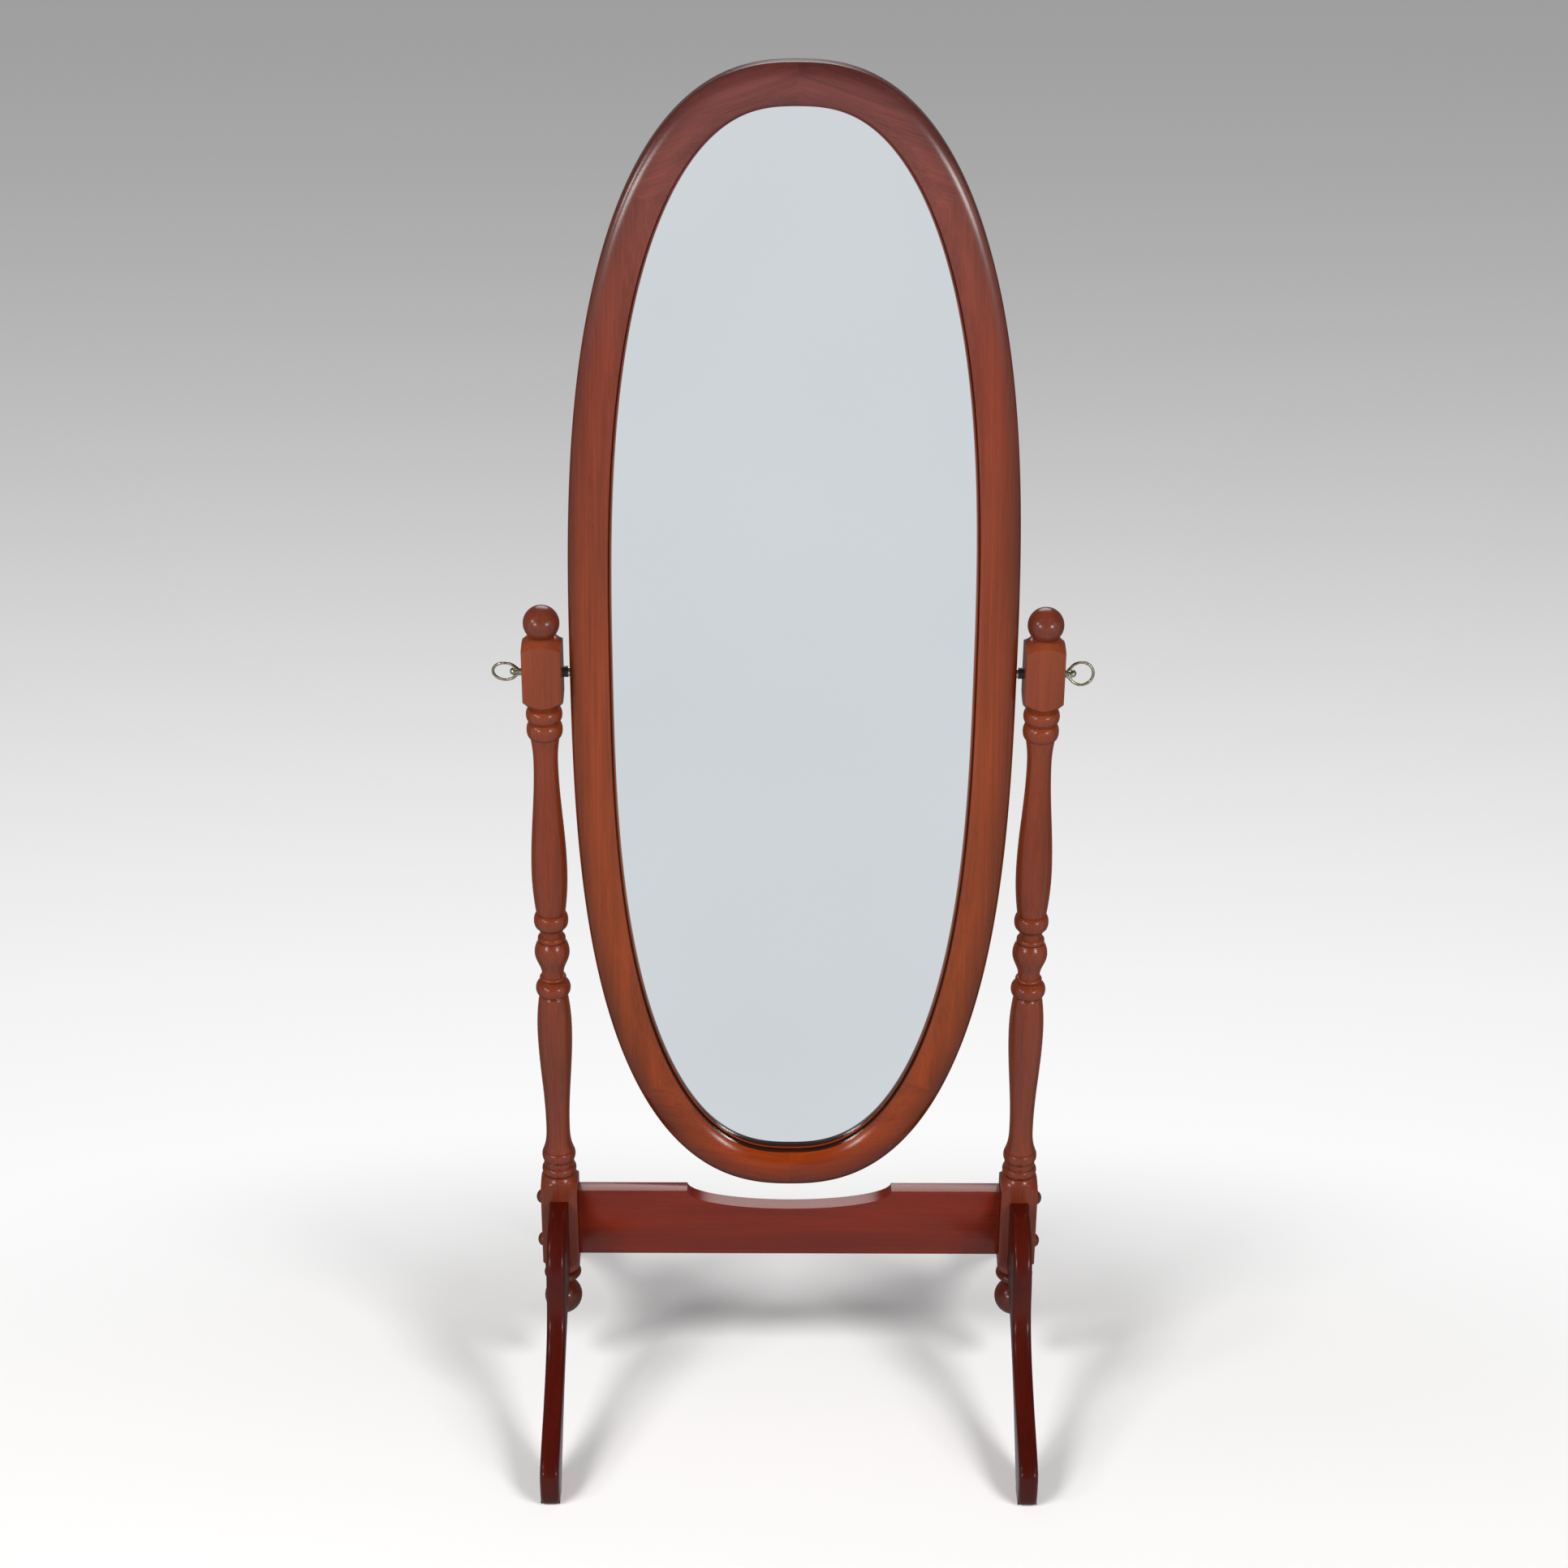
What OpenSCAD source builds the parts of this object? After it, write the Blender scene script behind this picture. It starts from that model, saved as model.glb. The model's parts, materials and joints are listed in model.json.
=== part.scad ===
// Cheval mirror: an oval mirror that tilts between two turned posts.
// The origin is on the floor, midway between the posts, with the glass facing -Y.

/* [Mirror] */
// Width of the oval frame, outside
oval_w = 464; // [430:1:520]
// Height of the oval frame, outside
oval_h = 1252; // [1150:1:1320]
// Squareness of the oval across its width, where 2 is a true ellipse
oval_nx = 2.42; // [2.2:0.02:2.8]
// Squareness of the oval along its height, where 2 is a true ellipse
oval_nz = 2.74; // [2.2:0.02:3]
// Width of the frame's face
face_w = 44; // [42:1:56]
// Thickness of the frame, front to back
frame_t = 26; // [25:0.5:32]
// Rounding of the frame's outer front edge, measured across the face
outer_round = 19; // [14:0.5:22]
// Depth of that rounding, front to back
outer_drop = 8.2; // [6:0.1:9]
// Width of the small bead round the glass
lip_bead = 3.2; // [2.5:0.1:4.5]
// Depth of that bead behind the front of the frame
lip_set = 15.5; // [13:0.5:16.5]
// Fall of the face from its crest to the step beside the bead
face_fall = 8.7; // [6:0.1:10]
// Depth of the glass behind the front of the frame
glass_set = 20; // [19:0.5:20]
// Thickness of the glass
glass_t = 3; // [2:0.5:4]
// Width of the ledge that holds the glass
glass_ledge = 7; // [5:0.5:8]
// Thickness of the backing board
board_t = 3; // [2:0.5:4]
// Width of the ledge that holds the backing board
board_ledge = 8; // [7:0.5:10]
// Screws that hold the backing board
board_screws = 12; // [8:2:16]
// Radius of the backing screws
board_screw_r = 1.5; // [1.2:0.1:1.8]

/* [Posts] */
// Width of the square blocks of the posts
block_w = 41; // [38:1:46]
// Gap between the frame and each post
pivot_gap = 8; // [6:0.5:11]
// Height of the upper block at the middle of its faces
top_block_h = 69; // [56:1:80]
// Height of the lower block above the rail, at the middle of its faces
block_over_rail = 15.5; // [12:0.5:24]
// Height of the lower block below the rail, at the middle of its faces
block_under_rail = 14; // [10:0.5:20]
// Largest radius of the beads
bead_r = 19.1; // [17:0.1:20.5]
// Radius of the waists of the two long vases
waist_r = 13.2; // [11:0.1:15]
// Height of the lower long vase
lower_vase_h = 167; // [140:1:200]
// Height of the small urn between the two long vases
urn_h = 45.5; // [38:0.5:54]
// Radius of the ball on top
ball_r = 19; // [16:0.1:21]
// Radius of the drop ball under the post
drop_r = 21.5; // [18:0.1:24]
// Height of the drop below the post
drop_h = 61; // [54:1:70]

/* [Stand] */
// Height of the rail's lower edge above the floor
rail_z = 161; // [150:1:190]
// Height of the rail
rail_h = 84.5; // [74:0.5:100]
// Thickness of the rail
rail_t = 19; // [16:0.5:24]
// Half width of the scoop in the rail's top edge
scoop_half = 116; // [90:1:140]
// Depth of the scoop
scoop_d = 23; // [16:0.5:30]
// Clearance between the scoop and the frame that swings over it
swing_gap = 31.5; // [22:0.5:50]
// Reach of each foot from the middle of the posts
foot_reach = 256; // [225:1:290]
// Thickness of the legs
leg_t = 21; // [17:0.5:26]
// Rounding of the long edges of the legs
leg_round = 5; // [3:0.5:6]
// Height of the leg's joint with the block
leg_joint_h = 88; // [80:1:92]
// Height of the foot at the toe
toe_h = 48; // [40:1:56]
// Length of the flat under the foot
foot_flat = 26; // [20:1:32]
// Radius of the leg dowels
dowel_r = 5; // [4:0.5:6]
// Distance between the two dowels of a leg
dowel_gap = 44; // [32:1:54]

/* [Fittings] */
// Radius of the pivot screw's shank
shank_r = 3; // [2.5:0.1:4]
// Radius of the ring of the thumb screw, at the middle of its wire
ring_r = 12.6; // [10:0.1:15]
// Radius of the ring's wire
wire_r = 1.5; // [1.3:0.1:2.2]
// Turn of the left ring from upright
left_ring_turn = 24; // [-90:1:90]
// Turn of the right ring from upright
right_ring_turn = 0; // [-90:1:90]
// Radius of the threaded insert's flange
flange_r = 5; // [4.5:0.1:6]
// Thickness of the threaded insert's flange
flange_t = 1.8; // [1:0.1:2.5]
// Radius of the friction washer
washer_r = 5.8; // [5:0.1:7]
// Depth of the threaded insert in the frame
insert_l = 14; // [10:1:18]
// Distance between the two bolts at each end of the rail
bolt_gap = 58; // [46:1:64]
// Radius of the rail bolts
bolt_r = 3; // [2.5:0.1:4]
// Radius of the round barrel nuts in the rail
nut_r = 5; // [4.5:0.1:6]
// Depth of the barrel nuts from the rail's end
nut_set = 30; // [24:1:40]
// Radius of the button caps
cap_r = 8; // [7.5:0.1:9.5]
// Height of the dome of the button caps
cap_h = 6.5; // [4:0.5:8]

/* [Hidden] */

$fn = 64;
run_fit = 0.05;      // radial gap of a shaft that turns in its hole
wood_fit = 0.1;      // radial gap of a dowel or tenon
bolt_fit = 0.3;      // radial gap round a bolt in wood
glass_fit = 0.5;     // gap round the glass and the board in their ledges

// The heights and places that follow from the sizes above
half_block = block_w / 2;
corner_r = half_block * sqrt(2) + 1;
rail_top = rail_z + rail_h;
pivot_z = rail_top - scoop_d + swing_gap + oval_h / 2;
post_x = oval_w / 2 + pivot_gap + half_block;
outer_x = post_x + half_block;
inner_x = post_x - half_block;
base_low = rail_z - block_under_rail;
base_high = rail_top + block_over_rail;
top_low = pivot_z - top_block_h / 2;
top_high = pivot_z + top_block_h / 2;

wood_red = "#7d3b26";
wood_dark = "#6b2e1e";
metal_old = "#7a7868";

// How far the turned cuts run down over the corners of the square blocks
top_cut_high = 6;
top_cut_low = 9;
base_cut_high = 9.5;
base_cut_low = 10;
post_end = 10;       // round end of the post below the base block

// Points of a half ellipse that bulges from a root radius, from its lower to its upper end
function bead(z, h, root, r, n = 10) =
    [for (i = [0:n]) let (a = -90 + 180 * i / n) [root + (r - root) * cos(a), z + h / 2 * (1 + sin(a))]];
// Points of a smooth S curve from one radius to another
function swell(z, h, r0, r1, n = 16) =
    [for (i = [1:n - 1]) [r0 + (r1 - r0) * (1 - cos(180 * i / n)) / 2, z + h * i / n]];
// Points of a parabola from a full radius to a lesser one, and the same turned upside down
function ease_in(z, h, r0, r1, n = 8) =
    [for (i = [0:n]) let (u = i / n) [r0 + (r1 - r0) * u * u, z + h * u]];
function ease_out(z, h, r0, r1, power = 2, n = 8) =
    [for (i = [0:n]) let (u = 1 - i / n) [r1 + (r0 - r1) * pow(u, power), z + h * (1 - u)]];

// Heights of the turned parts between the two blocks
shoulder_h = 5.5;
base_bead_h = 10;
band_h = 7.5;
low_bead_h = 13;
flare_h = 31;
vase_end_h = 42;
mid_bead_h = 16;
astragal_h = 5;
cove_h = 9;
high_vase_end_h = 48;
neck_h = 25.5;
top_bead_h = 18;
high_bead_h = 14;
top_shoulder_h = 6.5;
groove_h = 2;
groove_r = waist_r - 1.2;
small_r = waist_r + 2;
vase_end_r = waist_r + 2.7;

z1 = base_high + shoulder_h;                       // bead over the base block
z2 = z1 + base_bead_h + band_h;                    // bead under the lower vase
z3 = z2 + low_bead_h;                              // flare under the lower vase
z4 = z3 + flare_h;                                 // waist of the lower vase
z5 = z4 + lower_vase_h;                            // top of the lower vase
z6 = z5 + groove_h + mid_bead_h + 0.5 + astragal_h + 1.5 * groove_h + groove_h;  // foot of the urn
z7 = z6 + urn_h;                                   // top of the urn
z8 = z7 + groove_h + cove_h + mid_bead_h + 1;      // foot of the upper vase
z9 = top_low - top_shoulder_h - high_bead_h - 1.5 - top_bead_h - groove_h - neck_h;
low_rise = lower_vase_h - vase_end_h;              // waist to belly of the lower vase
top_rise = z9 - z8 - groove_h - high_vase_end_h;   // belly to waist of the upper vase

top_bead_z = z9 + neck_h + groove_h;
function turned_outline() = concat(
    [[half_block, base_high], [bead_r - 0.4, z1 - 1]],
    bead(z1, base_bead_h, bead_r - 2.5, bead_r + 0.2),
    [[bead_r - 2.1, z1 + base_bead_h + 1], [bead_r - 2.1, z2 - 1]],
    bead(z2, low_bead_h, bead_r - 3, bead_r - 0.3),
    ease_out(z3 + 0.5, flare_h - 0.5, small_r + 1.9, waist_r, 3),
    swell(z4, low_rise, waist_r, bead_r),
    ease_in(z4 + low_rise, vase_end_h, bead_r, vase_end_r),
    [[vase_end_r - 0.9, z5 + groove_h / 2]],
    bead(z5 + groove_h, mid_bead_h, vase_end_r - 1.2, bead_r),
    bead(z6 - 1.5 * groove_h - astragal_h, astragal_h, groove_r, small_r - 0.6, 6),
    [[groove_r, z6 - 0.5]],
    urn_outline(z6, urn_h),
    [[groove_r, z7 + groove_h / 2]],
    ease_in(z7 + groove_h, cove_h, groove_r, small_r, 5),
    bead(z8 - mid_bead_h - 1, mid_bead_h + 1, small_r, bead_r - 0.4),
    [[vase_end_r - 0.5, z8 + groove_h / 2]],
    ease_out(z8 + groove_h, high_vase_end_h, vase_end_r, bead_r + 0.2),
    swell(z8 + groove_h + high_vase_end_h, top_rise, bead_r + 0.2, waist_r - 0.2, 20),
    ease_in(z9, neck_h, waist_r - 0.2, small_r),
    bead(top_bead_z, top_bead_h, small_r, bead_r),
    [[small_r + 1, top_bead_z + top_bead_h + 0.5]],
    bead(top_bead_z + top_bead_h + 1.5, high_bead_h, small_r + 1, bead_r + 0.1),
    [[bead_r - 1.9, top_low - top_shoulder_h + 2.5], [half_block, top_low]]);

// The urn widens slowly to its belly, then closes over a small astragal
function urn_outline(z, h) = concat(
    swell(z, h * 0.57, groove_r, bead_r, 10),
    ease_in(z + h * 0.57, h * 0.3, bead_r, small_r + 0.2, 6),
    bead(z + h * 0.87, h * 0.13, small_r - 1, small_r, 5));

module turned(points) {
    first = points[0];
    last = points[len(points) - 1];
    rotate_extrude($fn = 96) polygon(concat([[0, first[1]]], points, [[0, last[1]]]));
}

// A square block whose corners are cut by a turned shoulder at each end
module block(low, high, cut_low, cut_high) {
    intersection() {
        translate([-half_block, -half_block, low - 1]) cube([block_w, block_w, high - low + 2]);
        turned([[half_block, low], [corner_r, low + cut_low], [corner_r, high - cut_high],
            [half_block, high]]);
    }
}

ball_z = top_high + shoulder_h * 0.4 + ball_r * 0.91;
function ball_outline() = concat(
    [[half_block, top_high], [small_r + 1.6, top_high + shoulder_h * 0.7],
     [small_r + 0.6, top_high + shoulder_h * 0.8]],
    [for (i = [0:16]) let (a = -48 + 138 * i / 16) [max(0, ball_r * cos(a)), ball_z + ball_r * sin(a)]]);

tenon_r = 8;
tenon_l = 18;
leg_low = base_low + 3;
leg_high = leg_low + leg_joint_h;
dowel_z = (leg_low + leg_high) / 2;
dowel_in_block = 13;
dowel_in_leg = 20;
head_r = 5.5;        // head of the rail bolts
head_h = 4;
head_set = 11;       // depth of the counterbore for the bolt head
cap_stem_r = 6.6;
nut_l = 12;          // length of the barrel nuts
bolt_z = [rail_z + rail_h / 2 - bolt_gap / 2, rail_z + rail_h / 2 + bolt_gap / 2];

// One post round its own axis, with the mirror on the side of +X
module post() {
    difference() {
        union() {
            block(base_low, base_high, base_cut_low, base_cut_high);
            turned([[half_block - 2.2, base_low - post_end], [half_block - 0.6, base_low - post_end + 2],
                [half_block, base_low]]);
            turned(turned_outline());
            block(top_low, top_high, top_cut_low, top_cut_high);
            turned(ball_outline());
        }
        // hole for the thumb screw
        translate([-half_block - 1, 0, pivot_z]) rotate([0, 90, 0])
            cylinder(r = shank_r + run_fit, h = block_w + 2);
        // holes and counterbores for the rail bolts
        for (z = bolt_z) translate([-half_block - 1, 0, z]) rotate([0, 90, 0]) {
            cylinder(r = bolt_r + bolt_fit, h = block_w + 2);
            cylinder(r = cap_stem_r + wood_fit, h = head_set + 1);
        }
        // holes for the leg dowels, front and rear
        for (side = [-1, 1], step = [-1, 1])
            translate([0, side * (half_block - dowel_in_block), dowel_z + step * dowel_gap / 2])
                rotate([-90 * side, 0, 0]) cylinder(r = dowel_r + wood_fit, h = dowel_in_block + 1);
        // hole for the tenon of the drop finial
        translate([0, 0, base_low - post_end - 1]) cylinder(r = tenon_r + wood_fit, h = tenon_l + 2);
    }
}

module left_post() { color(wood_red) translate([-post_x, 0, 0]) post(); }
module right_post() { color(wood_red) mirror([1, 0, 0]) translate([-post_x, 0, 0]) post(); }

// Collar, neck and ball of the drop finial, with a tenon into the post
drop_top = base_low - post_end;
collar_h = 10;
collar_gap = 2;      // neck between the collar and the post
drop_neck_r = 11.5;
drop_z = drop_top - drop_h + drop_r;
module drop_finial() {
    turned(concat(
        [for (i = [0:16]) let (a = -90 + 148 * i / 16) [drop_r * max(0, cos(a)), drop_z + drop_r * sin(a)]],
        bead(drop_top - collar_gap - collar_h, collar_h, drop_neck_r + 4, drop_r - 0.3, 8),
        [[drop_neck_r + 4.5, drop_top]]));
    translate([0, 0, drop_top - 1]) cylinder(r = tenon_r, h = tenon_l);
}
module left_drop_finial() { color(wood_dark) translate([-post_x, 0, 0]) drop_finial(); }
module right_drop_finial() { color(wood_dark) translate([post_x, 0, 0]) drop_finial(); }

// The rail between the two base blocks, scooped where the frame swings over it
scoop_steps = 36;
module stretcher_rail() {
    color(wood_dark) difference() {
        translate([0, rail_t / 2, 0]) rotate([90, 0, 0]) linear_extrude(rail_t)
            polygon(concat([[-inner_x, rail_z], [inner_x, rail_z], [inner_x, rail_top]],
                [for (i = [0:scoop_steps]) let (a = 180 * i / scoop_steps)
                    [scoop_half * cos(a), rail_top - scoop_d * sin(a)]],
                [[-inner_x, rail_top]]));
        for (side = [-1, 1], z = bolt_z) {
            translate([side * inner_x, 0, z]) rotate([0, -90 * side, 0])
                translate([0, 0, -1]) cylinder(r = bolt_r + bolt_fit, h = nut_set + nut_r + 5);
            translate([side * (inner_x - nut_set), rail_t / 2 + 1, z]) rotate([90, 0, 0])
                cylinder(r = nut_r + wood_fit, h = rail_t / 2 + 1 + nut_l / 2);
        }
    }
}

// Points of a cubic curve through its two end points
function curve(p, n) = [for (i = [0:n - 1]) let (t = i / n, s = 1 - t)
    s * s * s * p[0] + 3 * s * s * t * p[1] + 3 * s * t * t * p[2] + t * t * t * p[3]];

// Side view of a leg: distance forward of the post's axis, then height
knee_reach = foot_reach * 0.4;
ankle_reach = foot_reach * 0.74;
heel = foot_reach - 4 - foot_flat;
function leg_front() = concat(
    curve([[half_block, leg_high], [knee_reach * 0.6, leg_high + 4],
        [knee_reach * 0.95, leg_high - 18], [knee_reach, leg_high - 70]], 14),
    curve([[knee_reach, leg_high - 70], [knee_reach * 1.04, leg_high - 116],
        [ankle_reach * 0.74, toe_h + 56], [ankle_reach, toe_h + 29]], 14),
    curve([[ankle_reach, toe_h + 29], [ankle_reach * 1.09, toe_h + 21],
        [foot_reach * 0.9, toe_h + 12], [foot_reach - 13, toe_h + 3]], 8),
    curve([[foot_reach - 13, toe_h + 3], [foot_reach - 3, toe_h - 3],
        [foot_reach + 1, toe_h - 10], [foot_reach + 1, toe_h - 20]], 8),
    curve([[foot_reach + 1, toe_h - 20], [foot_reach + 1, 10],
        [foot_reach, 2], [foot_reach - 5, 0]], 8),
    [[foot_reach - 5, 0]]);
function leg_back() = concat(
    curve([[heel, 0], [heel - 16, 8], [heel * 0.74, 62], [heel * 0.5, leg_low - 52]], 12),
    curve([[heel * 0.5, leg_low - 52], [heel * 0.36, leg_low - 31],
        [half_block + 24, leg_low - 12], [half_block, leg_low]], 8),
    [[half_block, leg_low]]);

// The flat side of the leg as a ladder of triangles between its front and its back edge.
// The rungs are spread so that knee, ankle and heel stand opposite each other.
function rung(i) = floor(lookup(i, [[0, 0], [14, 6], [28, 13], [52, 20]]) + 0.001);
function leg_ladder() = let (front = len(leg_front()), n = front + len(leg_back()))
    [for (i = [0:front - 2]) let (a = n - 1 - rung(i), b = n - 1 - rung(i + 1))
        each concat([[i, i + 1, a]], b < a ? [[i + 1, b, a]] : [])];

// The outline drawn in by a distance, with the joint face and the sole kept flat
function drawn_in(p, d) = let (n = len(p)) [for (i = [0:n - 1]) let (
    t = p[(i + 1) % n] - p[(i + n - 1) % n],
    q = p[i] + d * [t[1], -t[0]] / norm(t))
    [p[i][0] <= half_block + 0.001 ? half_block : max(q[0], half_block),
        p[i][1] < 0.001 ? 0 : max(q[1], 0)]];

// A plate whose two long edges are rounded, as one closed skin of rings
round_steps = 4;
module rounded_plate(outline, ladder, thick, r) {
    n = len(outline);
    low = [for (i = [0:round_steps]) let (a = 90 * i / round_steps)
        [-thick / 2 + r * (1 - sin(a)), r * (1 - cos(a))]];
    rings = concat([for (i = [round_steps:-1:0]) low[i]], [for (q = low) [-q[0], q[1]]]);
    order = len(rings);
    points = [for (q = rings) for (p = drawn_in(outline, q[1])) [q[0], -p[0], p[1]]];
    polyhedron(points, concat(
        ladder, [for (face = ladder) [for (k = [2, 1, 0]) (order - 1) * n + face[k]]],
        [for (k = [0:order - 2]) for (i = [0:n - 1]) let (j = (i + 1) % n)
            each [[k * n + i, (k + 1) * n + i, (k + 1) * n + j], [k * n + i, (k + 1) * n + j, k * n + j]]]));
}

module leg() {
    difference() {
        rounded_plate(concat(leg_front(), leg_back()), leg_ladder(), leg_t, leg_round);
        for (step = [-1, 1]) translate([0, -half_block + 1, dowel_z + step * dowel_gap / 2])
            rotate([90, 0, 0]) cylinder(r = dowel_r + wood_fit, h = dowel_in_leg + 1);
    }
}

module leg_dowels() {
    for (step = [-1, 1])
        translate([0, -half_block + dowel_in_block, dowel_z + step * dowel_gap / 2])
            rotate([90, 0, 0]) cylinder(r = dowel_r, h = dowel_in_block + dowel_in_leg);
}

module at_leg(side, rear) {
    translate([side * post_x, 0, 0]) mirror([0, rear, 0]) children();
}
module front_left_leg() { color(wood_red) at_leg(-1, 0) leg(); }
module front_right_leg() { color(wood_red) at_leg(1, 0) leg(); }
module rear_left_leg() { color(wood_red) at_leg(-1, 1) leg(); }
module rear_right_leg() { color(wood_red) at_leg(1, 1) leg(); }
module front_left_leg_dowels() { color("tan") at_leg(-1, 0) leg_dowels(); }
module front_right_leg_dowels() { color("tan") at_leg(1, 0) leg_dowels(); }
module rear_left_leg_dowels() { color("tan") at_leg(-1, 1) leg_dowels(); }
module rear_right_leg_dowels() { color("tan") at_leg(1, 1) leg_dowels(); }

// Two bolts at each end of the rail, with their heads sunk in the block
bolt_l = block_w - head_set + nut_set + nut_r + 3;
module rail_bolts() {
    for (z = bolt_z) translate([outer_x - head_set, 0, z]) rotate([0, 90, 0]) {
        difference() {
            cylinder(r = head_r, h = head_h);
            translate([0, 0, head_h - 2]) cylinder(r = bolt_r * 0.85, h = 3, $fn = 6);
        }
        translate([0, 0, -bolt_l]) cylinder(r = bolt_r, h = bolt_l + 1);
    }
}
module right_rail_bolts() { color("silver") rail_bolts(); }
module left_rail_bolts() { color("silver") mirror([1, 0, 0]) rail_bolts(); }

// Round nuts that the bolts screw into, let in from the back of the rail
module barrel_nuts() {
    for (z = bolt_z) difference() {
        translate([inner_x - nut_set, 0, z]) rotate([90, 0, 0])
            cylinder(r = nut_r, h = nut_l, center = true);
        translate([inner_x - nut_set - nut_r - 1, 0, z]) rotate([0, 90, 0])
            cylinder(r = bolt_r + run_fit, h = 2 * nut_r + 2);
    }
}
module right_barrel_nuts() { color("silver") barrel_nuts(); }
module left_barrel_nuts() { color("silver") mirror([1, 0, 0]) barrel_nuts(); }

// Turned button caps that cover the bolt heads
module bolt_caps() {
    for (z = bolt_z) translate([outer_x, 0, z]) rotate([0, 90, 0]) {
        translate([0, 0, -6]) cylinder(r = cap_stem_r, h = 6.5);
        turned([for (i = [0:12]) let (a = 90 * i / 12) [cap_r * cos(a), cap_h * sin(a)]]);
    }
}
module right_bolt_caps() { color(wood_red) bolt_caps(); }
module left_bolt_caps() { color(wood_red) mirror([1, 0, 0]) bolt_caps(); }

// Outline of the oval at a drawing angle, set in from the outer edge by a distance
function power(v, e) = sign(v) * pow(abs(v), e);
function oval_point(t) = [oval_w / 2 * power(cos(t), 2 / oval_nx), oval_h / 2 * power(sin(t), 2 / oval_nz)];
function oval_inward(t) = let (
    v = [oval_nx * power(cos(t), 2 - 2 / oval_nx) / oval_w,
         oval_nz * power(sin(t), 2 - 2 / oval_nz) / oval_h]) -v / norm(v);
function oval_at(t, inset) = oval_point(t) + inset * oval_inward(t);

// Cross-section of the frame: distance in from the outer edge, then depth behind the middle
front_y = -frame_t / 2;
back_y = frame_t / 2;
glass_y = front_y + glass_set;
board_y = glass_y + glass_t;
lip = face_w - glass_ledge;
board_rim = lip - board_ledge;
bead_in = face_w - lip_bead;
bead_y = front_y + lip_set + lip_bead / 2;
round_in_steps = 8;  // facets of the outer rounding and of the face's fall
fall_steps = 8;
fall_run = bead_in - 0.4 - outer_round;
fall_r = (fall_run * fall_run + face_fall * face_fall) / (2 * face_fall);
function section() = concat(
    [[2, back_y], [0, back_y - 2]],
    [for (i = [0:round_in_steps]) let (a = 90 * i / round_in_steps)
        [outer_round * (1 - cos(a)), front_y + outer_drop * (1 - sin(a))]],
    [for (i = [1:fall_steps]) let (a = asin(fall_run / fall_r) * i / fall_steps)
        [outer_round + fall_r * sin(a), front_y + fall_r * (1 - cos(a))]],
    [[bead_in, bead_y]],
    [for (i = [1:5]) let (a = 180 - 130 * i / 5)
        [bead_in + lip_bead / 2 * (1 + cos(a)), bead_y - lip_bead / 2 * sin(a)]],
    [[face_w, bead_y + 1], [face_w, glass_y], [lip, glass_y], [lip, board_y],
     [board_rim, board_y], [board_rim, back_y]]);

// The cross-section's area as four faces, each seen whole from its first point
crest = 2 + round_in_steps;                     // the crest of the face
groove = 2 + round_in_steps + fall_steps + 1;   // the foot of the step beside the bead
function section_faces() = let (m = len(section())) [
    [for (k = [0:crest]) k],
    [crest, m - 4, m - 3, m - 2, m - 1, 0],
    concat([m - 4], [for (k = [crest:groove]) k]),
    concat([m - 5, m - 4], [for (k = [groove:m - 6]) k])];
function turned_over(face) = [for (k = [len(face) - 1:-1:0]) face[k]];

// A stretch of the frame between two drawing angles
sweep_step = 3;
module frame_part(from, to) {
    shape = section();
    m = len(shape);
    n = round((to - from) / sweep_step);
    points = [for (i = [0:n]) let (t = from + (to - from) * i / n) for (q = shape)
        let (p = oval_at(t, q[0])) [p[0], q[1], pivot_z + p[1]]];
    polyhedron(points, concat(
        [for (face = section_faces()) turned_over(face)],
        [for (face = section_faces()) [for (k = face) n * m + k]],
        [for (i = [0:n - 1]) for (k = [0:m - 1]) let (l = (k + 1) % m)
            each [[i * m + k, i * m + l, (i + 1) * m + l], [i * m + k, (i + 1) * m + l, (i + 1) * m + k]]]));
}

// A side of the frame, bored for its threaded insert and for the backing screws
insert_r = 4.5;
module frame_side(from, to, side) {
    difference() {
        frame_part(from, to);
        translate([side * (oval_w / 2 + 1), 0, pivot_z]) rotate([0, -90 * side, 0])
            cylinder(r = insert_r + wood_fit, h = insert_l + 2);
        screw_holes(from, to);
    }
}
module frame_bow(from, to) {
    difference() {
        frame_part(from, to);
        screw_holes(from, to);
    }
}

// The drawing angles of the joints between the six parts of the frame
joint_a = 48;
joint_b = 90;

// Backing screws stand at even distances in the drawing angle
screw_in = board_rim + board_ledge / 2;
screw_depth = 3.5;
function screw_angles() = [for (i = [0:board_screws - 1]) (i + 0.5) * 360 / board_screws];
module at_screw(t) {
    p = oval_at(t, screw_in);
    translate([p[0], board_y + board_t, pivot_z + p[1]]) rotate([90, 0, 0]) children();
}
module screw_holes(from, to) {
    for (t = screw_angles(), turn = [-360, 0, 360]) if (t + turn > from && t + turn < to)
        at_screw(t) cylinder(r = board_screw_r + wood_fit, h = board_t + screw_depth + 0.5, $fn = 24);
}

module frame_right_side() { color(wood_red) frame_side(-joint_a, joint_a, 1); }
module frame_left_side() { color(wood_red) frame_side(180 - joint_a, 180 + joint_a, -1); }
module frame_top_right() { color(wood_red) frame_bow(joint_a, joint_b); }
module frame_top_left() { color(wood_red) frame_bow(joint_b, 180 - joint_a); }
module frame_bottom_left() { color(wood_red) frame_bow(180 + joint_a, 360 - joint_b); }
module frame_bottom_right() { color(wood_red) frame_bow(360 - joint_b, 360 - joint_a); }

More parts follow.
